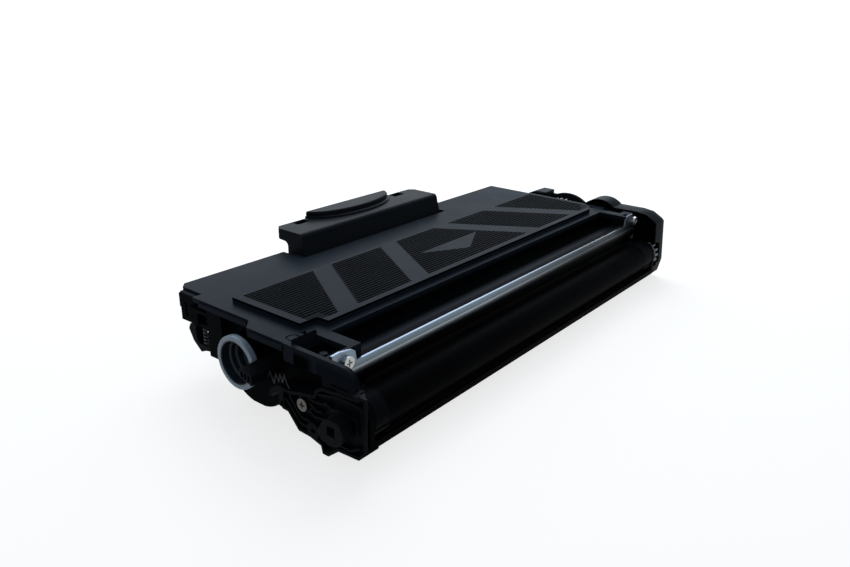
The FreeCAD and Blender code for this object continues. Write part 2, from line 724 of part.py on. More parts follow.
# Agitator: shaft with its web, flexible paddle, bush and seal
web_half = seal_half - 4.5
window_pitch = 22.0
web_thick = 1.6
paddle_thick = 0.4


def make_agitator_shaft():
    core = rod(agitator_shaft_radius, stand_x - stand_sheet + 0.2, inner_gears_end + 0.6, agitator_axis)
    web = box(-web_half, web_half, agitator_axis[0], agitator_axis[0] + 11.0,
              agitator_axis[1] - web_thick / 2, agitator_axis[1] + web_thick / 2)
    count = int((2 * web_half - 8) / window_pitch)
    middles = [(place - (count - 1) / 2) * window_pitch for place in range(count)]
    windows = [box(x - 8.5, x + 8.5, agitator_axis[0] + 3.6, agitator_axis[0] + 8.4,
                   agitator_axis[1] - 2, agitator_axis[1] + 2) for x in middles]
    back = box(-web_half, web_half, agitator_axis[0] - 7.0, agitator_axis[0],
               agitator_axis[1] - web_thick / 2, agitator_axis[1] + web_thick / 2)
    return join([core, web, back]).cut(windows)


pieces["agitator_shaft"] = make_agitator_shaft()
pieces["agitator_paddle"] = box(
    -web_half, web_half, agitator_axis[0] + 8.8, agitator_axis[0] + agitator_reach,
    agitator_axis[1] + web_thick / 2, agitator_axis[1] + web_thick / 2 + paddle_thick)
pieces["agitator_bush"] = tube(bush_radius, agitator_shaft_radius + running_fit, hopper_half - wall, cheek_half,
                               agitator_axis)
pieces["agitator_seal"] = tube(6.0, agitator_shaft_radius + running_fit, hopper_half - wall - 1.2,
                               hopper_half - wall, agitator_axis)


# Gears
pieces["developer_gear"] = gear(
    developer_teeth, developer_phase, developer_axis, inner_gears_x, inner_gears_end).cut(
    rod(shaft_radius, cheek_half, cover_face, developer_axis))
pieces["supply_gear"] = gear(supply_teeth, supply_phase, supply_axis, outer_gears_x, gears_end).cut(
    rod(shaft_radius, cheek_half, cover_face, supply_axis))
pieces["idler_gear"] = join([
    gear(idler_teeth, idler_phase, idler_axis, inner_gears_x, gears_end),
    rod(5.2, gears_end, cover_inner - 0.3, idler_axis)]).cut(
    rod(post_radius + running_fit, cheek_half, cover_face, idler_axis))


def make_coupling_gear():
    """Driven gear with a three-cornered socket for the machine's shaft."""
    body = join([gear(coupling_teeth, coupling_phase, coupling_axis, inner_gears_x, gears_end),
                 rod(8.0, gears_end, cover_face - 0.2, coupling_axis)])
    corners = [polar(coupling_axis, 6.2, 90 + 120 * corner + turn) for corner in range(3) for turn in (-14, 14)]
    socket = side_prism(corners, gears_end - 0.7, cover_face + 1)
    return body.cut([socket, rod(post_radius + running_fit, cheek_half, coupling_post_end + 0.3, coupling_axis)])


pieces["coupling_gear"] = make_coupling_gear()


def make_agitator_gear():
    disc = gear(agitator_teeth, agitator_phase, agitator_axis, inner_gears_x, inner_gears_end)
    dish = tube(16.0, 6.0, inner_gears_x + 1.6, inner_gears_end + 1, agitator_axis)
    return disc.cut([dish, rod(agitator_shaft_radius, cheek_half, cover_face, agitator_axis)])


pieces["agitator_gear"] = make_agitator_gear()


# Gear cover at the right end
boss_radius = 3.2
cover_lines = (1.8, 3.6, 5.4, 7.4)
line_width = 0.5
line_depth = 0.5
inner_wall = 0.5
roof_front = 72.3
roof_back = 80.2


def cover_block(grow, x0, x1):
    """The cover's side outline, drawn in by a wall when grow is negative."""
    g = grow
    outline = [
        (30.0, 0.6 + g), (6.3, 0.7 + g), (0.2, -0.2 + g), (-5.5 - g * 0.6, -3.4 + g), (-7.0 - g, -5.0),
        (-8.5 - g, -29.7), (-6.6 - g, -38.0), (-3.8 - g, -40.7 - g), (7.4 - g, -40.9 - g),
        (8.0 - g, -rest_drop - g), (13.0 + g, -rest_drop - g), (14.0 + g, -39.4 - g), (24.6 + g, -39.0 - g),
        (33.0, -34.4 - g), (44.0, -34.4 - g), (44.0, -10.0)]
    lobe = rod(agitator_teeth / 2 + 0.9 + gear_clearance + cover_wall + g, x0, x1, agitator_axis)
    dome = rod(coupling_teeth / 2 + 0.9 + gear_clearance + cover_wall + g, x0, x1, coupling_axis)
    solid = join([side_prism(outline, x0, x1), lobe, dome])
    floor = -rest_drop + (1.0 if g < 0 else 0)
    return solid.cut(box(0, beyond, -beyond, beyond, floor - 30, floor))


def cover_front_lines():
    """Shallow lines round the cover's front edge, where its layers meet."""
    zones = [box(cheek_half, cover_face, -20, 26, -16.0, 5), box(cheek_half, cover_face, -20, 6, -45, -34.0)]
    lines = []
    for place in cover_lines:
        start = cheek_half + place
        band = cover_block(0.2, start, start + line_width).cut(
            cover_block(-line_depth, start - 1, start + line_width + 1))
        lines += [band.common(zone) for zone in zones]
    return lines


def cover_rear():
    """Side plate, roof and screw ear behind the agitator's gear."""
    side = side_prism(
        [(66.0, -14.0), (91.2, -14.0), (91.2, -3.3), (roof_back, 1.9), (roof_front, 1.9), (roof_front, -0.6),
         (66.0, -0.6)], cover_inner, cover_face)
    roof = box(hopper_half, cover_face, roof_front, roof_back, 0.3, 1.9)
    skirt = box(cheek_half, cover_face, roof_front, roof_front + cover_wall, -3.2, 0.3)
    back = box(cheek_half, cover_face, 89.6, 91.2, -13.0, -3.4)
    ear = box(cheek_half, cheek_half + 2.0, 80.0, 91.2, -13.0, -3.2)
    return [side, roof, skirt, back, ear]


def make_gear_cover():
    shell = cover_block(0, cheek_half, cover_face)
    space = cover_block(-cover_wall, cheek_half - 1, cover_inner)
    boss = rod(boss_radius, cheek_half, cover_face, cover_screw_places[0])
    screen = shell.common(box(cheek_half, cheek_half + inner_wall, -20, 7.0, -17.0, 5))
    cover = join([shell.cut(space), boss, screen] + [piece.cut(space) for piece in cover_rear()])
    cuts = [box(cheek_half - 1, inner_gears_end + 0.5, -20, -4.0, -33.0, -17.0),
            box(cheek_half - 1, gears_end - 1.9, -20, 0, -31.0, -18.0),
            box(cheek_half - 1, cover_inner, 47.2, roof_front, -8.0, 5)]
    cuts.append(rod(8.4, cover_inner - 1, cover_face + 1, coupling_axis))
    cuts.append(rod(screw_head_radius + 0.4, cover_inner - 1, cover_face + 1, cover_screw_places[1]))
    cuts += cover_front_lines()
    cuts += [rod(screw_radius, cheek_half - 1, cover_face + 1, centre) for centre in cover_screw_places]
    cuts.append(rod(screw_head_radius + 0.2, cover_face - screw_head, cover_face + 1, cover_screw_places[0]))
    return cover.cut(cuts)


pieces["gear_cover"] = make_gear_cover()
pieces["cover_screws"] = Part.makeCompound([
    make_screw(cover_face - screw_head, 1, cover_face - screw_head - cheek_half + 3.6, centre=cover_screw_places[0]),
    make_screw(cheek_half + 2.0, 1, 5.6, centre=cover_screw_places[1])])


# Left end cap, its screw, the two contact blocks and the contact spring
cap_outline = [
    (-13.2, -9.3), (-9.2, -9.3), (-8.6, -10.7), (-2.6, -11.3), (9.8, -12.4), (13.6, -14.4), (14.8, -17.4),
    (22.6, -18.8), (28.6, -20.4), (33.8, -20.4), (33.8, -30.0), (30.2, -30.3), (24.3, -36.8), (17.7, -37.1),
    (11.6, -38.7), (10.8, -rest_drop), (7.6, -rest_drop), (1.9, -37.4), (-9.0, -36.8), (-12.7, -33.2),
    (-12.9, -23.0)]
cap_ribs = [
    [(31.6, -24.6), (29.9, -25.8), (23.3, -32.9), (18.4, -33.2)],
    [(28.6, -21.6), (28.5, -23.0), (22.5, -29.9), (17.4, -30.0)],
    [(17.2, -25.2), (14.9, -26.9), (7.6, -25.9)],
    [(17.4, -21.6), (13.6, -23.8), (10.4, -23.4)],
    [(18.4, -19.6), (14.5, -20.1), (9.5, -19.6), (7.8, -18.5), (5.2, -20.1), (-0.2, -19.0), (-3.3, -19.9),
     (-8.5, -19.6), (-8.5, -26.0)],
    [(12.4, -16.2), (2.2, -13.9), (-5.6, -13.6), (-10.6, -14.2), (-10.9, -24.0)],
    [(5.0, -34.4), (-4.6, -34.4), (-9.4, -31.6)]]
rib_thick = 0.9
square_hole = 4.0


def cap_inset(by, x0, x1):
    face = side_face(cap_outline, x0)
    if by:
        face = face.makeOffset2D(-by, 2)
    return face.extrude(FreeCAD.Vector(x1 - x0, 0, 0))


def side_rib(points, thickness, x0, x1):
    """An upright wall that follows a line of points (y, z)."""
    solids = []
    for (y0, z0), (y1, z1) in zip(points, points[1:]):
        length = math.hypot(y1 - y0, z1 - z0)
        ny = -(z1 - z0) / length * thickness / 2
        nz = (y1 - y0) / length * thickness / 2
        solids.append(side_prism(
            [(y0 + ny, z0 + nz), (y1 + ny, z1 + nz), (y1 - ny, z1 - nz), (y0 - ny, z0 - nz)], x0, x1))
    solids += [rod(thickness / 2, x0, x1, point) for point in points[1:-1]]
    return solids


def make_end_cap():
    rim = cap_inset(0, -cap_face, -cheek_half).cut(cap_inset(1.3, -cap_face - 1, -cheek_half + 1))
    solids = [rim, cap_inset(0, -cap_plate_out, -cap_plate_in)]
    for points in cap_ribs:
        solids += side_rib(points, rib_thick, -cap_face, -cap_plate_out)
    solids.append(rod(4.2, -cap_screw_seat, -cap_plate_out, cap_screw_place))
    solids.append(rod(3.6, -cap_plate_in, -cheek_half, cap_screw_place))
    solids.append(rod(3.5, -cap_face - 0.6, -cap_plate_out, (15.2, -33.2)))
    holder = side_prism(
        [(33.8, -19.9), (37.4, -21.2), (40.9, -24.0), (41.2, -26.8), (39.7, -26.8), (38.6, -24.6), (35.4, -23.2),
         (35.4, -29.4), (33.8, -29.4)], -cap_face, -cheek_half)
    cap = join(solids + [holder])
    out = -cap_face - 9
    deep = -cheek_half + 9
    front = plan_prism(
        [(-cap_face + 1.0, -20), (-cap_face + 1.0, -12.2), (-cap_plate_in, -8.8), (-cap_plate_in, -6.0), (deep, -6.0),
         (deep, -20)], -32.5, -9.0)
    cuts = [front, rod(bush_radius - 0.3, out, deep, developer_axis), rod(screw_radius, out, deep, cap_screw_place),
            rod(1.1, out, -cap_plate_out - 0.4, (15.2, -33.2)),
            box(-cap_face - 1, -cap_plate_out, 33.0, 34.4, -29.0, -26.6)]
    return cap.cut(cuts)


def make_roller_contact():
    """Block on the roller's axis with a square hole in its end face."""
    block = side_prism(
        [(7.3, -27.1), (4.0, -21.6), (0.6, -20.2), (-4.4, -20.6), (-6.4, -25.4), (-3.4, -30.4), (1.0, -31.6),
         (5.2, -30.4)], -cap_face - 5.6, -cap_face)
    spigot = rod(bush_radius - 0.3, -cap_face - 1, -cheek_half - 1.0, developer_axis)
    hole = box(-cap_face - 9, -cap_face - 0.8, -square_hole / 2, square_hole / 2, -roller_drop - square_hole / 2,
               -roller_drop + square_hole / 2)
    bore = rod(shaft_radius + running_fit, -cap_face + 0.8, -cheek_half + 9, developer_axis)
    return join([block, spigot]).cut([hole, bore])


def make_slot_contact():
    outline = [(42.8, -15.8), (50.0, -14.2), (50.0, -18.4), (42.8, -20.4)]
    block = side_prism(outline, -cap_face - 7.4, -hopper_half)
    slots = [box(-cap_face - 9, -cap_face - 5.0, y, y + 1.3, -18.6 + lift, -16.0 + lift)
             for y, lift in ((43.8, -0.3), (45.9, 0.1), (48.0, 0.5))]
    return block.cut(slots)


def wire_path(points, radius):
    """Round wire through a list of points, with a ball at each bend."""
    solids = []
    for start, end in zip(points, points[1:]):
        first = FreeCAD.Vector(*start)
        line = FreeCAD.Vector(*end) - first
        solids.append(Part.makeCylinder(radius, line.Length, first, line))
    solids += [Part.makeSphere(radius, FreeCAD.Vector(*point)) for point in points[1:-1]]
    return join(solids)


pieces["left_end_cap"] = make_end_cap()
pieces["cap_screw"] = make_screw(-cap_screw_seat, -1, cap_screw_seat - cheek_half + 3.6, centre=cap_screw_place)
pieces["roller_contact_block"] = make_roller_contact()
pieces["slot_contact_block"] = make_slot_contact()
contact_x = -cap_face + 1.0
pieces["contact_spring"] = wire_path(
    [(contact_x, 42.3, -19.0), (contact_x, 41.2, -16.2), (contact_x, 38.4, -20.6), (contact_x, 37.4, -15.8),
     (contact_x, 35.6, -19.0), (contact_x, 34.8, -15.2), (contact_x, 33.2, -18.6), (contact_x, 32.2, -14.8),
     (contact_x, 30.8, -18.4), (contact_x, 29.4, -20.0)], 0.4)


# Sprung lever at the left rear with its coil spring
def make_lever():
    arm = side_prism(
        [(86.0, -20.5), (89.0, -21.4), (94.6, coil_seat), (103.6, coil_seat), (105.4, -24.0), (105.6, -19.5),
         (104.6, -15.6), (104.6, -11.0), (108.4, -11.0), (108.4, -15.4), (110.9, -20.8), (107.9, -26.3),
         (102.6, -30.5), (98.8, -28.9), (86.0, -26.6)], lever_far, lever_near)
    eye = rod(3.1, lever_far, lever_near, lever_axis)
    notch = box(lever_far - 1, lever_far + stop_overlap + 0.2, 100.0, 110.5, lever_stop - 5.5, lever_stop)
    return join([arm, eye]).cut([notch, rod(lever_pin_radius + running_fit, lever_far - 3, lever_near + 3, lever_axis)])


def make_coil():
    """Coil of square wire, closed flat by its end turns."""
    steps = 12 * coil_turns
    middle_x = (lever_near + lever_far) / 2
    length = coil_top - coil_seat
    points = []
    for step in range(steps + 1):
        angle = 2 * math.pi * step / 12
        share = step / steps
        z = coil_seat + coil_wire / 2 + share * (length - coil_wire)
        points.append(FreeCAD.Vector(middle_x + coil_radius * math.cos(angle), coil_y + coil_radius * math.sin(angle), z))
    half = coil_wire / 2
    loops = []
    for step, point in enumerate(points):
        angle = 2 * math.pi * step / 12
        out = FreeCAD.Vector(math.cos(angle) * half, math.sin(angle) * half, 0)
        up = FreeCAD.Vector(0, 0, half)
        loops.append(Part.makePolygon([point + out + up, point - out + up, point - out - up, point + out - up,
                                       point + out + up]))
    return Part.makeLoft(loops, True, True)


pieces["latch_lever"] = make_lever()
pieces["latch_spring"] = make_coil()


os.makedirs("parts", exist_ok=True)
shift = FreeCAD.Vector(0, -agitator_axis[0], rest_drop)
for name, shape in pieces.items():
    shape.translate(shift)
    shape.exportStep(f"parts/{name}.step")
    print(name, len(shape.Solids), shape.isValid(), round(shape.Volume / 1000, 2))
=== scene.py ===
import math
import bpy
from mathutils import Matrix, Vector


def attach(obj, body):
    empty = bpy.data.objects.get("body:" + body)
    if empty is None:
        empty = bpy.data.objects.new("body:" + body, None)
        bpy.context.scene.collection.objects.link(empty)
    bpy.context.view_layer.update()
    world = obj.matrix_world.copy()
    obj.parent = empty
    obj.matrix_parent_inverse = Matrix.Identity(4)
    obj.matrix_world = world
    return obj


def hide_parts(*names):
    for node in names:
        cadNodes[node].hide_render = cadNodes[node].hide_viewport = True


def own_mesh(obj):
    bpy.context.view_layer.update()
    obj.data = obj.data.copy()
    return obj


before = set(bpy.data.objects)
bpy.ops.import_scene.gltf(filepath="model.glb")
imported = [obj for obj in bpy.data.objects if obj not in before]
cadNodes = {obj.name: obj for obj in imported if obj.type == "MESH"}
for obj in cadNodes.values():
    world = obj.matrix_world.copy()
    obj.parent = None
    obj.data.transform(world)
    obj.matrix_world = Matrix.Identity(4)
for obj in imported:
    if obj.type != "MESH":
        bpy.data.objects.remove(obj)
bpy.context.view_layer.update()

print("toner cartridge: frame loaded,", len(cadNodes), "nodes")


# Small helpers

def onlySelect(piece):
    bpy.ops.object.select_all(action="DESELECT")
    piece.select_set(True)
    bpy.context.view_layer.objects.active = piece


def applyModifiers(piece):
    onlySelect(piece)
    for modifier in list(piece.modifiers):
        bpy.ops.object.modifier_apply(modifier=modifier.name)


def smoothByAngle(piece, degrees):
    onlySelect(piece)
    bpy.ops.object.shade_smooth_by_angle(angle=math.radians(degrees))


def setMaterial(piece, material):
    piece.data.materials.clear()
    piece.data.materials.append(material)


# Node helpers for the materials

def newMaterial(name):
    material = bpy.data.materials.new(name)
    material.use_nodes = True
    return material, material.node_tree, material.node_tree.nodes["Principled BSDF"]


# The tables below give a noise as the values of this function, in their order

def objectNoise(tree, scale, detail=3.0, roughness=0.5, stretch=(1, 1, 1)):
    coordinates = tree.nodes.new("ShaderNodeTexCoord")
    mapping = tree.nodes.new("ShaderNodeMapping")
    mapping.inputs["Scale"].default_value = stretch
    noise = tree.nodes.new("ShaderNodeTexNoise")
    noise.inputs["Scale"].default_value = scale
    noise.inputs["Detail"].default_value = detail
    noise.inputs["Roughness"].default_value = roughness
    tree.links.new(coordinates.outputs["Object"], mapping.inputs["Vector"])
    tree.links.new(mapping.outputs["Vector"], noise.inputs["Vector"])
    return noise.outputs["Fac"]


def rampBetween(tree, factor, low, high, start=0.35, end=0.65):
    ramp = tree.nodes.new("ShaderNodeValToRGB")
    ramp.color_ramp.elements[0].position = start
    ramp.color_ramp.elements[0].color = (*low, 1)
    ramp.color_ramp.elements[1].position = end
    ramp.color_ramp.elements[1].color = (*high, 1)
    tree.links.new(factor, ramp.inputs["Fac"])
    return ramp.outputs["Color"]


def rangeBetween(tree, factor, low, high, start=0.3, end=0.7):
    spread = tree.nodes.new("ShaderNodeMapRange")
    spread.inputs["From Min"].default_value = start
    spread.inputs["From Max"].default_value = end
    spread.inputs["To Min"].default_value = low
    spread.inputs["To Max"].default_value = high
    tree.links.new(factor, spread.inputs["Value"])
    return spread.outputs["Result"]


def addBump(tree, shader, height, strength, distance):
    bump = tree.nodes.new("ShaderNodeBump")
    bump.inputs["Strength"].default_value = strength
    bump.inputs["Distance"].default_value = distance
    tree.links.new(height, bump.inputs["Height"])
    tree.links.new(bump.outputs["Normal"], shader.inputs["Normal"])


def mathNode(tree, operation, first, second=0.0):
    node = tree.nodes.new("ShaderNodeMath")
    node.operation = operation
    for place, value in enumerate((first, second)):
        if isinstance(value, (int, float)):
            node.inputs[place].default_value = value
        else:
            tree.links.new(value, node.inputs[place])
    return node.outputs[0]


def multiply(tree, first, second):
    return mathNode(tree, "MULTIPLY", first, second)


# A colour mix has its colours at sockets 6 and 7, and its result at output 2

def mixColours(tree, factor, first, second):
    mix = tree.nodes.new("ShaderNodeMix")
    mix.data_type = "RGBA"
    tree.links.new(factor, mix.inputs[0])
    for place, value in ((6, first), (7, second)):
        if isinstance(value, tuple):
            mix.inputs[place].default_value = (*value, 1)
        else:
            tree.links.new(value, mix.inputs[place])
    return mix.outputs[2]


def objectAxis(tree, axis):
    coordinates = tree.nodes.new("ShaderNodeTexCoord")
    split = tree.nodes.new("ShaderNodeSeparateXYZ")
    tree.links.new(coordinates.outputs["Object"], split.inputs["Vector"])
    return split.outputs[axis]


# Mask that is 1 on outside edges, from the difference between the real and a rounded normal

edgeWear = {"radius": 0.0005, "samples": 4, "wornBelow": 0.8, "cleanAbove": 0.985}


def edgeMask(tree):
    rounded = tree.nodes.new("ShaderNodeBevel")
    rounded.samples = edgeWear["samples"]
    rounded.inputs["Radius"].default_value = edgeWear["radius"]
    geometry = tree.nodes.new("ShaderNodeNewGeometry")
    dot = tree.nodes.new("ShaderNodeVectorMath")
    dot.operation = "DOT_PRODUCT"
    tree.links.new(rounded.outputs["Normal"], dot.inputs[0])
    tree.links.new(geometry.outputs["Normal"], dot.inputs[1])
    return rangeBetween(tree, dot.outputs["Value"], 1, 0, edgeWear["wornBelow"], edgeWear["cleanAbove"])


# Moulded plastic: a fine grain, slow shade changes, uneven gloss, outside edges rubbed a little
# paler and a few specks of toner

moulded = {
    "cloud": (28, 4),
    "scuff": (260, 5, 0.7),
    "scuffFrom": 0.42,
    "scuffTo": 0.62,
    "wornAmount": 0.6,
    "speck": (1500, 2),
    "speckFrom": 0.7,
    "speckTo": 0.76,
    "speckGain": 2,
    "speckLift": 0.015,
    "speckAmount": 0.3,
    "patch": (60, 5, 0.6),
    "shinier": 0.02,
    "duller": 0.03,
    "grain": (2500, 2),
    "grainStrength": 0.3,
    "grainDepth": 0.00002,
}


def mouldedPlastic(name, colour, gloss, sheen=0.06, shade=0.12, worn=(0.03, 0.032, 0.037),
                   tint=(0.7, 0.84, 1.0)):
    material, tree, shader = newMaterial(name)
    light = tuple(channel * (1 + shade) for channel in colour)
    dark = tuple(channel * (1 - shade) for channel in colour)
    base = rampBetween(tree, objectNoise(tree, *moulded["cloud"]), dark, light)
    scuffs = rangeBetween(tree, objectNoise(tree, *moulded["scuff"]), 0, 1,
                          moulded["scuffFrom"], moulded["scuffTo"])
    rubbed = multiply(tree, multiply(tree, edgeMask(tree), scuffs), moulded["wornAmount"])
    base = mixColours(tree, rubbed, base, worn)
    dust = rangeBetween(tree, objectNoise(tree, *moulded["speck"]), 0, 1,
                        moulded["speckFrom"], moulded["speckTo"])
    speck = tuple(channel * moulded["speckGain"] + moulded["speckLift"] for channel in colour)
    base = mixColours(tree, multiply(tree, dust, moulded["speckAmount"]), base, speck)
    tree.links.new(base, shader.inputs["Base Color"])
    patch = objectNoise(tree, *moulded["patch"])
    rough = rangeBetween(tree, patch, gloss - moulded["shinier"], gloss + moulded["duller"])
    tree.links.new(rough, shader.inputs["Roughness"])
    shader.inputs["Specular IOR Level"].default_value = sheen
    shader.inputs["Specular Tint"].default_value = (*tint, 1)
    grain = objectNoise(tree, *moulded["grain"])
    addBump(tree, shader, grain, moulded["grainStrength"], moulded["grainDepth"])
    return material


# The lid is that plastic too. Down between the ribs of its grip panel it is painted near black, as painted
# shade in the grooves. The trough is painted darker: near black under its back wall and darker at its front
# wall as painted shade, lightest in a strip near the blade, and darker toward the right. Places here are in
# metres.

lidTone = {
    "grooveFrom": 0.0434,
    "grooveTo": 0.04449,
    "floorBlend": 0.0001,
    "topBlend": 0.00005,
    "grooveShadeTone": 0.03,
    "troughFrom": -0.0357,
    "troughTo": -0.0352,
    "deepFrom": 0.0387,
    "deepTo": 0.0412,
    "toneAtBack": 0.06,
    "toneAtFront": 1.0,
    "wallShadeTo": -0.0428,
    "wallShadeFrom": -0.0478,
    "frontShadeFrom": -0.0474,
    "frontShadeTo": -0.0484,
    "frontShade": 0.5,
    "rightDark": 0.03,
    "rightBlack": 0.12,
    "rightTone": 0.42,
    "black": (0.0004, 0.0004, 0.0005),
}


# The ribs stand in five fields with slanted edges, and their tops are painted darker, their sheen too, than
# the smooth bands and the smooth triangle between them: painted shade for the ribbed fields. Distances here
# are in metres.

ribFields = {
    "middle": -0.0010,
    "frontRow": -0.027852,
    "backRow": 0.015648,
    "rowMargin": 0.0005,
    "slant": 0.027,
    "edges": (0.01645, 0.0293, 0.0652, 0.0774, 0.1190),
    "span": 0.130,
    "triangleTip": -0.019652,
    "triangleEnd": -0.005652,
    "triangleMiddle": 0.0009,
    "triangleSlope": 1.8,
    "tone": 0.34,
}


def ribFieldShade(tree):
    across = objectAxis(tree, "X")
    along = objectAxis(tree, "Y")
    lean = rangeBetween(tree, along, ribFields["slant"], 0, ribFields["frontRow"],
                        ribFields["backRow"])
    distance = mathNode(tree, "ABSOLUTE", mathNode(tree, "SUBTRACT", across, ribFields["middle"]))
    place = mathNode(tree, "DIVIDE", mathNode(tree, "SUBTRACT", distance, lean), ribFields["span"])
    ramp = tree.nodes.new("ShaderNodeValToRGB")
    ramp.color_ramp.interpolation = "CONSTANT"
    stops = ramp.color_ramp.elements
    stops[0].color = (1, 1, 1, 1)
    stops[1].position = ribFields["edges"][0] / ribFields["span"]
    stops[1].color = (0, 0, 0, 1)
    for index, edge in enumerate(ribFields["edges"][1:]):
        stop = stops.new(edge / ribFields["span"])
        stop.color = (1, 1, 1, 1) if index % 2 == 0 else (0, 0, 0, 1)
    tree.links.new(place, ramp.inputs["Fac"])
    pastFront = mathNode(tree, "GREATER_THAN", along, ribFields["frontRow"] - ribFields["rowMargin"])
    beforeBack = mathNode(tree, "LESS_THAN", along, ribFields["backRow"] + ribFields["rowMargin"])
    inRows = multiply(tree, pastFront, beforeBack)
    inEnds = mathNode(tree, "LESS_THAN", distance, ribFields["edges"][-1])
    reach = mathNode(tree, "MULTIPLY", mathNode(tree, "SUBTRACT", along, ribFields["triangleTip"]),
                     ribFields["triangleSlope"])
    offset = mathNode(tree, "ABSOLUTE", mathNode(tree, "SUBTRACT", across, ribFields["triangleMiddle"]))
    inTriangle = multiply(tree, mathNode(tree, "LESS_THAN", offset, reach),
                          mathNode(tree, "LESS_THAN", along, ribFields["triangleEnd"]))
    field = multiply(tree, multiply(tree, ramp.outputs["Color"], inRows),
                     multiply(tree, inEnds, mathNode(tree, "SUBTRACT", 1.0, inTriangle)))
    onPanel = mathNode(tree, "GREATER_THAN", objectAxis(tree, "Z"), lidTone["grooveFrom"])
    # Painted shade: inside the ribbed fields the tone drops, darkening colour and sheen.
    return rangeBetween(tree, multiply(tree, field, onPanel), 1, ribFields["tone"], 0, 1)


# Darken a plastic by a tone from 0 to 1, its sheen too

def toneDown(tree, tone, black, sheen):
    shader = tree.nodes["Principled BSDF"]
    base = shader.inputs["Base Color"].links[0].from_socket
    tree.links.new(mixColours(tree, tone, black, base), shader.inputs["Base Color"])
    tree.links.new(rangeBetween(tree, tone, 0, sheen, 0, 1), shader.inputs["Specular IOR Level"])


def lidPlastic(name, colour, gloss, sheen):
    material = mouldedPlastic(name, colour, gloss, sheen)
    tree = material.node_tree
    across = objectAxis(tree, "X")
    along = objectAxis(tree, "Y")
    height = objectAxis(tree, "Z")
    above = rangeBetween(tree, height, 0, 1, lidTone["grooveFrom"],
                         lidTone["grooveFrom"] + lidTone["floorBlend"])
    below = rangeBetween(tree, height, 1, 0, lidTone["grooveTo"] - lidTone["topBlend"],
                         lidTone["grooveTo"])
    # Painted shade: the groove floors between the ribs go near black, their sheen too.
    paintedGrooveShade = rangeBetween(tree, multiply(tree, above, below), 1, lidTone["grooveShadeTone"], 0, 1)
    forward = rangeBetween(tree, along, 1, 0, lidTone["troughFrom"], lidTone["troughTo"])
    deep = rangeBetween(tree, height, 1, 0, lidTone["deepFrom"], lidTone["deepTo"])
    # The trough is darker toward the right.
    rightward = rangeBetween(tree, across, 1, lidTone["rightTone"], lidTone["rightDark"],
                             lidTone["rightBlack"])
    # Painted shade: the trough floor goes near black toward its back wall.
    backWallShade = rangeBetween(tree, along, lidTone["toneAtFront"], lidTone["toneAtBack"],
                           lidTone["wallShadeFrom"], lidTone["wallShadeTo"])
    # Painted shade: the trough floor is darker again at its front wall.
    shaded = rangeBetween(tree, along, lidTone["frontShade"], 1, lidTone["frontShadeTo"],
                          lidTone["frontShadeFrom"])
    trough = tree.nodes.new("ShaderNodeMix")
    trough.inputs[2].default_value = 1
    tree.links.new(multiply(tree, forward, deep), trough.inputs[0])
    tree.links.new(multiply(tree, multiply(tree, rightward, backWallShade), shaded), trough.inputs[3])
    tone = multiply(tree, multiply(tree, paintedGrooveShade, trough.outputs[0]), ribFieldShade(tree))
    toneDown(tree, tone, lidTone["black"], sheen)
    return material


# The gear cover is dusty plastic whose inner side, toward the casing, is painted near black as shade
# between the cover and the casing

coverTone = {
    "innerFrom": 0.1312,
    "innerTo": 0.1322,
    "innerShade": 0.06,
    "black": (0.0006, 0.0006, 0.0007),
}


def coverPlastic(name, colour, gloss, sheen):
    material = mouldedPlastic(name, colour, gloss, sheen)
    tree = material.node_tree
    # Painted shade: darker on the inner side, toward the casing.
    tone = rangeBetween(tree, objectAxis(tree, "X"), coverTone["innerShade"], 1,
                        coverTone["innerFrom"], coverTone["innerTo"])
    toneDown(tree, tone, coverTone["black"], sheen)
    return material


# Plated or rolled sheet steel with fine drawn lines along one direction

drawn = {"darkest": 0.8, "smoother": 0.05, "rougher": 0.08, "strength": 0.2, "depth": 0.00001}


def sheetSteel(name, colour, gloss, lines=(0.02, 1, 1), lineSize=0.0002):
    material, tree, shader = newMaterial(name)
    shader.inputs["Metallic"].default_value = 1.0
    streak = objectNoise(tree, 1 / lineSize, stretch=lines)
    dark = tuple(channel * drawn["darkest"] for channel in colour)
    tree.links.new(rampBetween(tree, streak, dark, colour), shader.inputs["Base Color"])
    rough = rangeBetween(tree, streak, gloss - drawn["smoother"], gloss + drawn["rougher"])
    tree.links.new(rough, shader.inputs["Roughness"])
    addBump(tree, shader, streak, drawn["strength"], drawn["depth"])
    return material


# The bracket's steel carries painted light: a painted highlight along its bend runs above a lower part
# painted dark as the roller's reflection and shade, going black by the roller. Upward faces are painted a
# bluish sky reflection, the steel is darker toward the right end, and specks of toner get thicker toward
# the right end. Each stop is a height in metres and the colour there.

bracketDustAndLight = {
    "stops": (
        (0.0278, (0.003, 0.003, 0.0035)),
        (0.0292, (0.012, 0.013, 0.015)),
        (0.0303, (0.035, 0.04, 0.044)),
        (0.0316, (0.14, 0.155, 0.17)),
        (0.0326, (0.50, 0.55, 0.60)),
        (0.0332, (0.72, 0.80, 0.87)),
        (0.0336, (0.20, 0.25, 0.29)),
        (0.0380, (0.20, 0.25, 0.30)),
    ),
    "low": 0.0270,
    "high": 0.0390,
    "steel": (0.5, 0.5, 0.5),
    "lineShare": 0.6,
    "paintedSkyOnTop": (0.16, 0.20, 0.27),
    "upFrom": 0.4,
    "upTo": 0.8,
    "leftEnd": -0.04,
    "rightEnd": 0.06,
    "rightTone": 0.26,
    "rightBlack": (0.01, 0.011, 0.012),
    "toner": (0.005, 0.0055, 0.0065),
    "tonerFrom": -0.02,
    "tonerTo": 0.13,
    "tonerLeast": 0.05,
    "tonerMost": 0.5,
    "specks": (1100, 5, 0.8),
    "specksFrom": 0.45,
    "specksTo": 0.6,
    "tonerMatt": 0.3,
}


def blend(tree, kind, share):
    mix = tree.nodes.new("ShaderNodeMix")
    mix.data_type = "RGBA"
    mix.blend_type = kind
    mix.inputs[0].default_value = share
    return mix


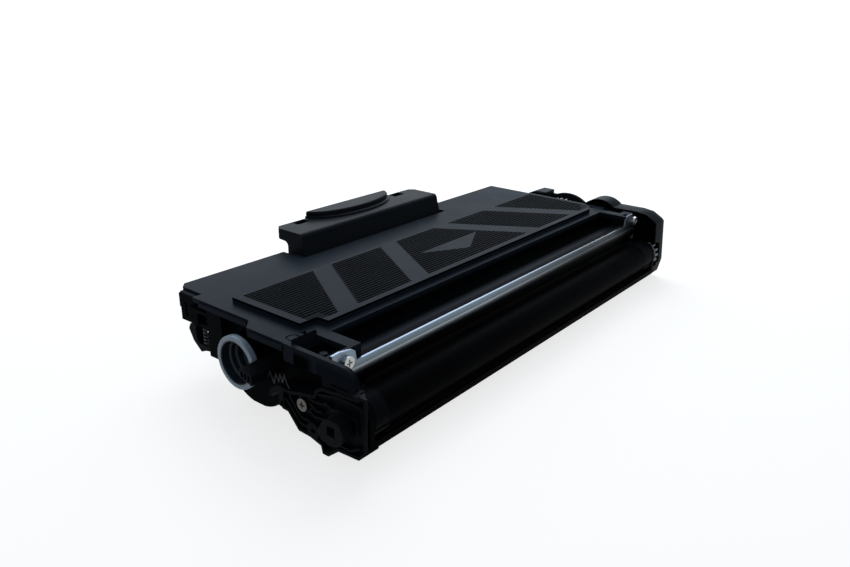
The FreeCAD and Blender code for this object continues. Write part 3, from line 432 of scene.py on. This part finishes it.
def dustAndLightSteel(name, gloss):
    material = sheetSteel(name, bracketDustAndLight["steel"], gloss)
    tree = material.node_tree
    shader = tree.nodes["Principled BSDF"]
    lines = shader.inputs["Base Color"].links[0].from_socket
    rough = shader.inputs["Roughness"].links[0].from_socket
    across = objectAxis(tree, "X")
    height = rangeBetween(tree, objectAxis(tree, "Z"), 0, 1, bracketDustAndLight["low"], bracketDustAndLight["high"])
    # Painted highlight and painted shade by height, from the stops.
    ramp = tree.nodes.new("ShaderNodeValToRGB")
    stops = ramp.color_ramp.elements
    for index, (z, colour) in enumerate(bracketDustAndLight["stops"]):
        place = (z - bracketDustAndLight["low"]) / (bracketDustAndLight["high"] - bracketDustAndLight["low"])
        stop = stops[index] if index < len(stops) else stops.new(place)
        stop.position = place
        stop.color = (*colour, 1)
    tree.links.new(height, ramp.inputs["Fac"])
    brighter = blend(tree, "ADD", 1.0)
    brighter.inputs[7].default_value = (*bracketDustAndLight["steel"], 1)
    tree.links.new(lines, brighter.inputs[6])
    bands = blend(tree, "MULTIPLY", bracketDustAndLight["lineShare"])
    tree.links.new(ramp.outputs["Color"], bands.inputs[6])
    tree.links.new(brighter.outputs[2], bands.inputs[7])
    # Painted sky reflection: upward faces take the bluish top colour.
    geometry = tree.nodes.new("ShaderNodeNewGeometry")
    facing = tree.nodes.new("ShaderNodeSeparateXYZ")
    tree.links.new(geometry.outputs["Normal"], facing.inputs["Vector"])
    upward = rangeBetween(tree, facing.outputs["Z"], 0, 1, bracketDustAndLight["upFrom"], bracketDustAndLight["upTo"])
    steel = mixColours(tree, upward, bands.outputs[2], bracketDustAndLight["paintedSkyOnTop"])
    # The steel is darker toward the right end.
    darker = rangeBetween(tree, across, 1, bracketDustAndLight["rightTone"], bracketDustAndLight["leftEnd"], bracketDustAndLight["rightEnd"])
    steel = mixColours(tree, darker, bracketDustAndLight["rightBlack"], steel)
    right = rangeBetween(tree, across, bracketDustAndLight["tonerLeast"], bracketDustAndLight["tonerMost"],
                         bracketDustAndLight["tonerFrom"], bracketDustAndLight["tonerTo"])
    specks = rangeBetween(tree, objectNoise(tree, *bracketDustAndLight["specks"]), 0, 1,
                          bracketDustAndLight["specksFrom"], bracketDustAndLight["specksTo"])
    dusted = multiply(tree, right, specks)
    tree.links.new(mixColours(tree, dusted, steel, bracketDustAndLight["toner"]), shader.inputs["Base Color"])
    matt = mathNode(tree, "ADD", mathNode(tree, "MULTIPLY", dusted, bracketDustAndLight["tonerMatt"]), rough)
    tree.links.new(matt, shader.inputs["Roughness"])
    return material


# Developer roller: smooth rubber, black where toner coats it and greyer in the end bands

roller = {
    "coatedFrom": -0.1203,
    "coatedTo": 0.1177,
    "edgeBlur": 0.0012,
    "coated": (0.0012, 0.0013, 0.0016),
    "streakGain": 1.5,
    "bare": (0.006, 0.0068, 0.0085),
    "coatedGloss": 0.5,
    "bareGloss": 0.45,
    "sheen": 0.006,
    "streakScale": 700,
    "streakStretch": (1, 0.03, 0.03),
    "grain": (2600, 2),
    "grainStrength": 0.12,
    "grainDepth": 0.00001,
}


def rollerRubber():
    material, tree, shader = newMaterial("rollerRubber")
    across = objectAxis(tree, "X")
    edges = []
    for start, end in ((roller["coatedFrom"], roller["coatedFrom"] + roller["edgeBlur"]),
                       (roller["coatedTo"], roller["coatedTo"] - roller["edgeBlur"])):
        blur = tree.nodes.new("ShaderNodeMapRange")
        blur.interpolation_type = "SMOOTHSTEP"
        blur.inputs["From Min"].default_value = start
        blur.inputs["From Max"].default_value = end
        tree.links.new(across, blur.inputs["Value"])
        edges.append(blur.outputs["Result"])
    inside = multiply(tree, edges[0], edges[1])
    streak = objectNoise(tree, roller["streakScale"], stretch=roller["streakStretch"])
    lightest = tuple(channel * roller["streakGain"] for channel in roller["coated"])
    coatedShade = rampBetween(tree, streak, roller["coated"], lightest)
    tree.links.new(mixColours(tree, inside, roller["bare"], coatedShade), shader.inputs["Base Color"])
    tree.links.new(rangeBetween(tree, inside, roller["bareGloss"], roller["coatedGloss"], 0, 1),
                   shader.inputs["Roughness"])
    shader.inputs["Specular IOR Level"].default_value = roller["sheen"]
    grain = objectNoise(tree, *roller["grain"])
    addBump(tree, shader, grain, roller["grainStrength"], roller["grainDepth"])
    return material


# Soft materials: foam with pores, pressed felt with fibres, thin film with slight waves

def softFoam(name, colour, cell=0.0006):
    facts = {"detail": 4, "unevenness": 0.7, "poreFrom": 0.4, "poreTo": 0.6, "darkest": 0.4,
             "rough": 0.92, "sheen": 0.06, "strength": 0.8, "depth": 0.0002}
    material, tree, shader = newMaterial(name)
    pores = objectNoise(tree, 1 / cell, facts["detail"], facts["unevenness"])
    dark = tuple(channel * facts["darkest"] for channel in colour)
    shade = rampBetween(tree, pores, dark, colour, facts["poreFrom"], facts["poreTo"])
    tree.links.new(shade, shader.inputs["Base Color"])
    shader.inputs["Roughness"].default_value = facts["rough"]
    shader.inputs["Specular IOR Level"].default_value = facts["sheen"]
    addBump(tree, shader, pores, facts["strength"], facts["depth"])
    return material


def pressedFelt(name, colour):
    facts = {"fibre": (2200, 6, 0.75, (1, 0.35, 1)), "darkest": 0.45, "rough": 0.95, "sheen": 0.1,
             "strength": 0.9, "depth": 0.00025}
    material, tree, shader = newMaterial(name)
    fibre = objectNoise(tree, *facts["fibre"])
    dark = tuple(channel * facts["darkest"] for channel in colour)
    tree.links.new(rampBetween(tree, fibre, dark, colour), shader.inputs["Base Color"])
    shader.inputs["Roughness"].default_value = facts["rough"]
    shader.inputs["Specular IOR Level"].default_value = facts["sheen"]
    addBump(tree, shader, fibre, facts["strength"], facts["depth"])
    return material


def thinFilm(name, colour):
    facts = {"wave": (90, 2), "lightest": 1.4, "rough": 0.28, "strength": 0.1, "depth": 0.0002}
    material, tree, shader = newMaterial(name)
    wave = objectNoise(tree, *facts["wave"])
    light = tuple(channel * facts["lightest"] for channel in colour)
    tree.links.new(rampBetween(tree, wave, colour, light), shader.inputs["Base Color"])
    shader.inputs["Roughness"].default_value = facts["rough"]
    addBump(tree, shader, wave, facts["strength"], facts["depth"])
    return material


# Fill plug: natural polythene, a milky blue rim whose cup is painted dark, as painted shade inside it

plugGlow = {
    "rim": (0.34, 0.41, 0.50),
    "cup": (0.014, 0.021, 0.030),
    "axis": (0.0018, 0.022853),
    "cupRadius": 0.0098,
    "rimRadius": 0.0106,
    "cloud": (120, 4),
    "cloudShade": 0.9,
    "shiniest": 0.28,
    "dullest": 0.4,
    "under": 0.2,
    "underReach": (0.002, 0.003, 0.004),
    "underScale": 0.5,
    "sheen": 0.25,
    "grain": (900, 3),
    "grainStrength": 0.1,
    "grainDepth": 0.00003,
}


def milkyPlug():
    material, tree, shader = newMaterial("milkyPlug")
    cloud = objectNoise(tree, *plugGlow["cloud"])
    shaded = tuple(channel * plugGlow["cloudShade"] for channel in plugGlow["rim"])
    rim = rampBetween(tree, cloud, shaded, plugGlow["rim"])
    coordinates = tree.nodes.new("ShaderNodeTexCoord")
    flat = tree.nodes.new("ShaderNodeVectorMath")
    flat.operation = "MULTIPLY_ADD"
    flat.inputs[1].default_value = (0, 1, 1)
    flat.inputs[2].default_value = (0, -plugGlow["axis"][0], -plugGlow["axis"][1])
    tree.links.new(coordinates.outputs["Object"], flat.inputs[0])
    radius = tree.nodes.new("ShaderNodeVectorMath")
    radius.operation = "LENGTH"
    tree.links.new(flat.outputs["Vector"], radius.inputs[0])
    # Painted shade: inside the cup's radius the colour goes to the dark cup colour.
    deep = rangeBetween(tree, radius.outputs["Value"], 1, 0, plugGlow["cupRadius"], plugGlow["rimRadius"])
    tree.links.new(mixColours(tree, deep, rim, plugGlow["cup"]), shader.inputs["Base Color"])
    rough = rangeBetween(tree, cloud, plugGlow["shiniest"], plugGlow["dullest"])
    tree.links.new(rough, shader.inputs["Roughness"])
    shader.inputs["Subsurface Weight"].default_value = plugGlow["under"]
    shader.inputs["Subsurface Radius"].default_value = plugGlow["underReach"]
    shader.inputs["Subsurface Scale"].default_value = plugGlow["underScale"]
    shader.inputs["Specular IOR Level"].default_value = plugGlow["sheen"]
    grain = objectNoise(tree, *plugGlow["grain"])
    addBump(tree, shader, grain, plugGlow["grainStrength"], plugGlow["grainDepth"])
    return material


finishes = {
    "lid": lidPlastic("lidPlastic", (0.0112, 0.0154, 0.0224), 0.42, 0.012),
    "handle": mouldedPlastic("handlePlastic", (0.0085, 0.0102, 0.0128), 0.4, 0.018),
    # The shell plastic is painted darker, with less sheen, than the lid plastic, as painted shade on the
    # hopper's shadowed underside.
    "shell": mouldedPlastic("shellPlasticShaded", (0.0018, 0.0021, 0.0027), 0.45, 0.006),
    "cap": mouldedPlastic("capPlastic", (0.0046, 0.0056, 0.0072), 0.38, 0.014),
    "cover": coverPlastic("coverPlastic", (0.0100, 0.0130, 0.0160), 0.42, 0.02),
    "contact": mouldedPlastic("contactPlastic", (0.0075, 0.0085, 0.0105), 0.42, 0.02),
    "gear": mouldedPlastic("gearAcetal", (0.30, 0.30, 0.28), 0.38, 0.3, 0.05, (0.4, 0.4, 0.38),
                           tint=(1, 1, 1)),
    "darkGear": mouldedPlastic("gearDark", (0.005, 0.0052, 0.006), 0.36, 0.06),
    "blade": dustAndLightSteel("bladeSteel", 0.33),
    "leaf": sheetSteel("leafSteel", (0.002, 0.0022, 0.0025), 0.5),
    "screw": sheetSteel("screwZinc", (0.50, 0.50, 0.49), 0.26, (1, 1, 1), 0.0008),
    "dullScrew": sheetSteel("dullZinc", (0.10, 0.095, 0.085), 0.32, (1, 1, 1), 0.0008),
    "shaft": sheetSteel("shaftSteel", (0.45, 0.45, 0.46), 0.3, (1, 0.05, 0.05)),
    "wire": sheetSteel("wireSteel", (0.014, 0.015, 0.016), 0.36, (1, 1, 1), 0.0008),
    "roller": rollerRubber(),
    "foam": softFoam("supplyFoam", (0.03, 0.03, 0.032)),
    "tip": softFoam("bladeRubber", (0.0012, 0.0012, 0.0014), 0.0004),
    "strip": softFoam("bladeFoam", (0.006, 0.006, 0.0065), 0.0004),
    "felt": pressedFelt("lipFelt", (0.030, 0.026, 0.022)),
    "darkFelt": pressedFelt("sealFelt", (0.012, 0.011, 0.010)),
    "film": thinFilm("lipFilm", (0.008, 0.008, 0.009)),
    "plug": milkyPlug(),
}
print("toner cartridge: materials made")


# Refined copies of the moulded and formed pieces: same shape with their small edge radii

refined = {
    "top_cover": {"slot": "lid", "finish": "lid", "radius": 0.0001, "body": "casing"},
    "hopper_shell": {"slot": "shell", "finish": "shell", "radius": 0.0003, "body": "casing"},
    "rear_handle": {"slot": "lid", "finish": "handle", "radius": 0.0007, "body": "casing"},
    "fill_plug": {"slot": "plug", "finish": "plug", "radius": 0.0004, "body": "casing"},
    "blade_bracket": {"slot": "steel", "finish": "blade", "radius": 0.0003, "body": "casing"},
    "blade_screws": {"slot": "steel", "finish": "screw", "radius": 0.0004, "body": "casing"},
    "cover_screws": {"slot": "steel", "finish": "screw", "radius": 0.0004, "body": "casing"},
    "cap_screw": {"slot": "steel", "finish": "dullScrew", "radius": 0.0004, "body": "casing"},
    "left_end_cap": {"slot": "dark", "finish": "cap", "radius": 0.0002, "body": "casing"},
    "gear_cover": {"slot": "shell", "finish": "cover", "radius": 0.0003, "body": "casing"},
    "roller_contact_block": {"slot": "contact", "finish": "contact", "radius": 0.0004, "body": "casing"},
    "slot_contact_block": {"slot": "contact", "finish": "contact", "radius": 0.0003, "body": "casing"},
    "latch_lever": {"slot": "dark", "finish": "cap", "radius": 0.0004, "body": "lever"},
    "coupling_gear": {"slot": "dark", "finish": "darkGear", "radius": 0.0001, "body": "coupling"},
    "idler_gear": {"slot": "gear", "finish": "gear", "radius": 0.0001, "body": "idler"},
    "developer_gear": {"slot": "gear", "finish": "gear", "radius": 0.0001, "body": "developer"},
    "developer_roller": {"slot": "roller", "finish": "roller", "radius": 0.0004, "body": "developer"},
}


# Clean-up, bevels and smoothing that the refined copies share. Angles are in degrees.

refining = {
    "mergeDistance": 0.000001,
    "flatAngle": 0.6,
    "bevelAngle": 38,
    "bevelSegments": 2,
    "smoothAngle": 40,
    "faceWeight": 80,
}


def refine(nodeName, facts):
    onlySelect(cadNodes[nodeName])
    bpy.ops.object.duplicate()
    piece = bpy.context.active_object
    piece.parent = None
    piece.name = nodeName.replace("_", " ").title().replace(" ", "") + "Body"
    for key in list(piece.keys()):
        del piece[key]
    onlySelect(piece)
    bpy.ops.object.mode_set(mode="EDIT")
    bpy.ops.mesh.select_all(action="SELECT")
    bpy.ops.mesh.remove_doubles(threshold=refining["mergeDistance"])
    bpy.ops.mesh.dissolve_limited(angle_limit=math.radians(refining["flatAngle"]))
    bpy.ops.object.mode_set(mode="OBJECT")
    if facts["radius"] > 0:
        bevel = piece.modifiers.new("edgeRadius", "BEVEL")
        bevel.width = facts["radius"]
        bevel.segments = refining["bevelSegments"]
        bevel.limit_method = "ANGLE"
        bevel.angle_limit = math.radians(refining["bevelAngle"])
        bevel.miter_outer = "MITER_SHARP"
        applyModifiers(piece)
    smoothByAngle(piece, refining["smoothAngle"])
    weighted = piece.modifiers.new("flatFaces", "WEIGHTED_NORMAL")
    weighted.keep_sharp = True
    weighted.weight = refining["faceWeight"]
    applyModifiers(piece)
    setMaterial(piece, finishes[facts["finish"]])
    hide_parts(nodeName)
    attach(piece, facts["body"])
    return piece


for nodeName, facts in refined.items():
    refine(nodeName, facts)
print("toner cartridge: casing, covers and hardware refined")


# The lever's coil spring: a refined copy with a mesh of its own

coil = {"slot": "spring", "finish": "wire", "radius": 0, "body": "casing", "liftAtLimit": 0.0018}
coilPiece = refine("latch_spring", coil)
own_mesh(coilPiece)


# Pieces that keep their CAD mesh

carried = {
    "blade_leaf": "leaf", "blade_tip": "tip", "blade_seal": "strip", "developer_shaft": "shaft",
    "developer_bush_left": "contact", "developer_bush_right": "contact", "end_seals": "darkFelt",
    "lip_felts": "felt", "lip_film": "film", "supply_shaft": "shaft", "supply_roller": "foam",
    "supply_bushes": "contact", "agitator_shaft": "contact", "agitator_paddle": "film",
    "agitator_bush": "contact", "agitator_seal": "darkFelt", "supply_gear": "gear", "agitator_gear": "gear",
    "contact_spring": "wire",
}
for nodeName, finish in carried.items():
    setMaterial(cadNodes[nodeName], finishes[finish])
print("toner cartridge: inner pieces finished")


# Floor, lights and camera

studio = {
    "floorSize": 40,
    "floorSeen": (0.36, 0.36, 0.362),
    "floorBounce": (0.3, 0.3, 0.3),
    "glowNear": 0.76,
    "glowFar": 1.0,
    "nearReach": 0.25,
    "farReach": 1.2,
    "ambient": 0.3,
    "skyTint": (0.84, 0.92, 1.0),
    "lampTint": (0.86, 0.94, 1.0),
}


# 1 for what the camera sees directly, in a reflection or through a clear piece, otherwise 0

def seenDirectly(tree):
    path = tree.nodes.new("ShaderNodeLightPath")
    seen = mathNode(tree, "MAXIMUM", path.outputs["Is Camera Ray"], path.outputs["Is Glossy Ray"])
    return mathNode(tree, "MAXIMUM", seen, path.outputs["Is Transmission Ray"])


def makeFloor():
    bpy.ops.object.select_all(action="DESELECT")
    bpy.ops.mesh.primitive_plane_add(size=studio["floorSize"], location=(0, 0, 0))
    floor = bpy.context.active_object
    floor.name = "studioFloor"
    material = bpy.data.materials.new("paleFloor")
    material.use_nodes = True
    tree = material.node_tree
    tree.nodes.clear()
    output = tree.nodes.new("ShaderNodeOutputMaterial")
    seen = tree.nodes.new("ShaderNodeBsdfDiffuse")
    seen.inputs["Color"].default_value = (*studio["floorSeen"], 1)
    bounce = tree.nodes.new("ShaderNodeBsdfDiffuse")
    bounce.inputs["Color"].default_value = (*studio["floorBounce"], 1)
    glow = tree.nodes.new("ShaderNodeEmission")
    glow.inputs["Color"].default_value = (1, 1, 1, 1)
    coordinates = tree.nodes.new("ShaderNodeTexCoord")
    reach = tree.nodes.new("ShaderNodeVectorMath")
    reach.operation = "LENGTH"
    tree.links.new(coordinates.outputs["Object"], reach.inputs[0])
    strength = rangeBetween(tree, reach.outputs["Value"], studio["glowNear"], studio["glowFar"],
                            studio["nearReach"], studio["farReach"])
    tree.links.new(strength, glow.inputs["Strength"])
    both = tree.nodes.new("ShaderNodeAddShader")
    mix = tree.nodes.new("ShaderNodeMixShader")
    tree.links.new(seen.outputs[0], both.inputs[0])
    tree.links.new(glow.outputs[0], both.inputs[1])
    tree.links.new(seenDirectly(tree), mix.inputs[0])
    tree.links.new(bounce.outputs[0], mix.inputs[1])
    tree.links.new(both.outputs[0], mix.inputs[2])
    tree.links.new(mix.outputs[0], output.inputs["Surface"])
    setMaterial(floor, material)


def makeWorld():
    world = bpy.data.worlds.new("studio")
    bpy.context.scene.world = world
    world.use_nodes = True
    tree = world.node_tree
    background = tree.nodes["Background"]
    strength = rangeBetween(tree, seenDirectly(tree), studio["ambient"], 1, 0, 1)
    tree.links.new(strength, background.inputs["Strength"])
    path = tree.nodes.new("ShaderNodeLightPath")
    tint = mixColours(tree, path.outputs["Is Camera Ray"], studio["skyTint"], (1, 1, 1))
    tree.links.new(tint, background.inputs["Color"])


lamps = {
    "topSoftbox": {"place": (0.40, 0.40, 0.52), "size": (0.9, 0.7), "power": 6},
    "leftFill": {"place": (-1.1, -0.1, 0.5), "size": (0.6, 0.5), "power": 0.5},
    "target": (0, 0, 0.02),
}


def areaLight(name):
    facts = lamps[name]
    bpy.ops.object.select_all(action="DESELECT")
    bpy.ops.object.light_add(type="AREA", location=facts["place"])
    lamp = bpy.context.active_object
    lamp.name = name
    lamp.data.shape = "RECTANGLE"
    lamp.data.size, lamp.data.size_y = facts["size"]
    lamp.data.energy = facts["power"]
    lamp.data.color = studio["lampTint"]
    aim = Vector(lamps["target"]) - Vector(facts["place"])
    lamp.rotation_euler = aim.to_track_quat("-Z", "Y").to_euler()


# The camera solved from the photograph: its place, its angles and its focal length in pixels

view = {
    "place": (-0.3148, -0.242652, 0.1720),
    "heading": math.radians(38.73),
    "down": math.radians(21.035),
    "roll": math.radians(0.69),
    "focalPixels": 769,
    "imageWidth": 850,
    "sensor": 36,
    "clipStart": 0.01,
}


def makeCamera():
    forward = Vector((math.cos(view["down"]) * math.cos(view["heading"]),
                      math.cos(view["down"]) * math.sin(view["heading"]), -math.sin(view["down"])))
    level = Vector((math.sin(view["heading"]), -math.cos(view["heading"]), 0))
    below = forward.cross(level)
    right = level * math.cos(view["roll"]) - below * math.sin(view["roll"])
    under = level * math.sin(view["roll"]) + below * math.cos(view["roll"])
    turn = Matrix((right, -under, -forward)).transposed().to_4x4()
    data = bpy.data.cameras.new("photoCamera")
    data.sensor_width = view["sensor"]
    data.sensor_fit = "HORIZONTAL"
    data.lens = view["sensor"] * view["focalPixels"] / view["imageWidth"]
    data.clip_start = view["clipStart"]
    camera = bpy.data.objects.new("photoCamera", data)
    bpy.context.scene.collection.objects.link(camera)
    camera.matrix_world = Matrix.Translation(view["place"]) @ turn
    bpy.context.scene.camera = camera


makeFloor()
makeWorld()
areaLight("topSoftbox")
areaLight("leftFill")
makeCamera()
bpy.context.scene.view_settings.view_transform = "Standard"
print("toner cartridge: studio set")
